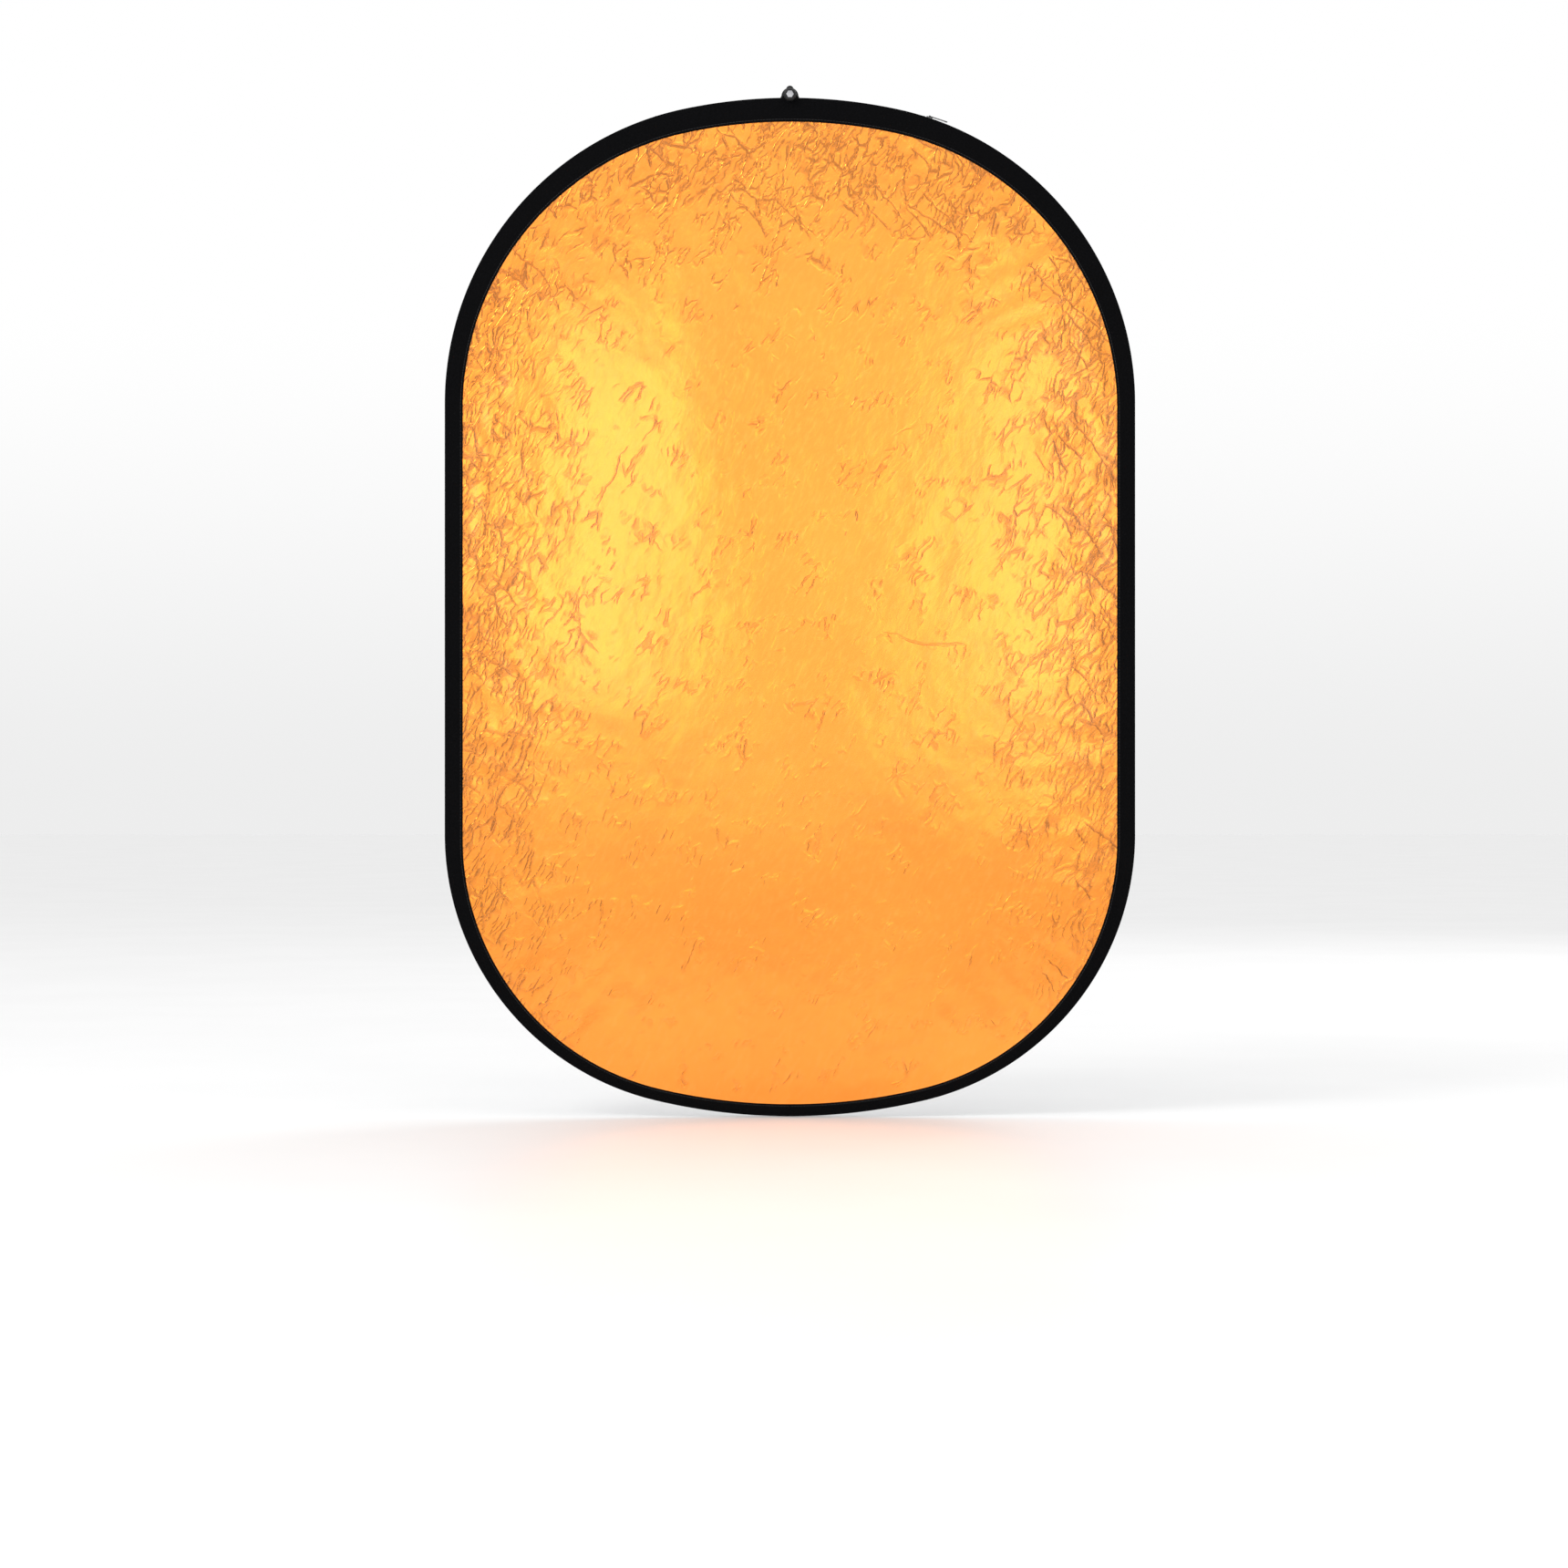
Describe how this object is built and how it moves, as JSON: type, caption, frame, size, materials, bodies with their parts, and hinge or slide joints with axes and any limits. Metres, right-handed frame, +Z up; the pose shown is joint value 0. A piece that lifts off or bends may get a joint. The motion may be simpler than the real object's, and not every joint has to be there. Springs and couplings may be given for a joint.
{
  "type": "collapsible reflector disc",
  "caption": "Oval collapsible light reflector with a zip-on gold and silver cover on a sprung translucent core, held at its top edge by a spring grip for a light stand.",
  "frame": {"origin": "centre of the mouth of the stand bore in the grip's socket", "axes": "+Z up along the disc's height; the stand bore opens down, along -Z. The gold face looks along -Y and the grip's rod lies along Y. +X is across the disc, on the lock knob's side"},
  "size_m": [1.0114, 0.1018, 1.5168],
  "materials": {
    "chrome": "bright chrome plate on a turned steel socket",
    "black_plastic": "fine-grained moulded black plastic",
    "gloss_black": "polished black plastic",
    "steel": "bright drawn steel",
    "spring_steel": "tempered strip",
    "nylon": "plain moulded nylon",
    "binding": "dark heathered woven binding",
    "core_hem": "white woven hem tape",
    "diffuser": "thin translucent white nylon",
    "gold": "crinkled gold foil cloth",
    "silver": "crinkled silver foil cloth",
    "white_cloth": "plain white satin cloth",
    "black_cloth": "plain black cloth",
    "zip_tape": "black woven zip tape",
    "zip_coil": "black nylon coil",
    "zip_metal": "black enamelled die casting"
  },
  "bodies": {
    "socket": {"stand_socket": "chrome", "swivel_stud": "steel", "friction_washer": "nylon"},
    "pad": {"pressure_pad": "nylon"},
    "lock": {"lock_screw": "steel", "knob_collar": "chrome", "lock_knob": "gloss_black"},
    "arm": {"elbow_body": "black_plastic", "elbow_cap": "black_plastic", "grip_rod": "black_plastic", "grip_shaft": "steel", "tip_cap": "black_plastic", "tip_nut": "steel", "spring_loop": "spring_steel", "splice_plates": "steel", "splice_rivets": "steel", "core_binding": "core_hem", "diffuser_panel": "diffuser", "gold_yoke": "gold", "white_lining_yoke": "white_cloth", "front_binding_yoke": "binding", "front_zip_tape_yoke": "zip_tape", "front_zip_coil_yoke": "zip_coil", "silver_panel": "silver", "black_lining": "black_cloth", "back_binding": "binding", "back_zip_tape": "zip_tape", "back_zip_coil": "zip_coil", "top_gusset": "binding", "top_stops": "zip_metal", "bottom_stop": "zip_metal"},
    "sleeve": {"grip_sleeve": "black_plastic", "grip_spring": "steel"},
    "front_cover": {"gold_panel": "gold", "white_lining": "white_cloth", "front_binding": "binding", "front_zip_tape": "zip_tape", "front_zip_coil": "zip_coil"},
    "slider": {"zip_slider": "zip_metal"},
    "pull": {"zip_pull": "zip_metal"}
  },
  "joints": [
    {"name": "lock_turn", "type": "hinge", "parent": "pad", "child": "lock", "pos_m": [0.02, 0, 0.014], "axis": [-1, 0, 0], "range_deg": [0, 720]},
    {"name": "pad_press", "type": "slide", "parent": "socket", "child": "pad", "axis": [-1, 0, 0], "range_m": [0, 0.002]},
    {"name": "arm_swivel", "type": "hinge", "parent": "socket", "child": "arm", "pos_m": [0, 0, 0.0475], "axis": [0, 0, 1], "continuous": true},
    {"name": "sleeve_slide", "type": "slide", "parent": "arm", "child": "sleeve", "axis": [0, 1, 0], "range_m": [0, 0.012], "stiffness_N_per_m": 500, "springref_m": -0.012, "deforming": ["grip_spring"]},
    {"name": "cover_open", "type": "hinge", "parent": "arm", "child": "front_cover", "pos_m": [0, -0.0772, 0.00384], "axis": [-1, 0, 0], "range_deg": [0, 120]},
    {"name": "slider_run", "type": "hinge", "parent": "arm", "child": "slider", "pos_m": [0.065, -0.07175, -0.40299], "axis": [0, 1, 0], "range_deg": [0, 68]},
    {"name": "pull_flip", "type": "hinge", "parent": "slider", "child": "pull", "pos_m": [0.20481, -0.07175, 0.01716], "axis": [0, -1, 0], "range_deg": [0, 150]}
  ],
  "couplings": [
    {"joint": "lock_turn", "follows": "pad_press", "rad_per_m": 6283.2}
  ]
}
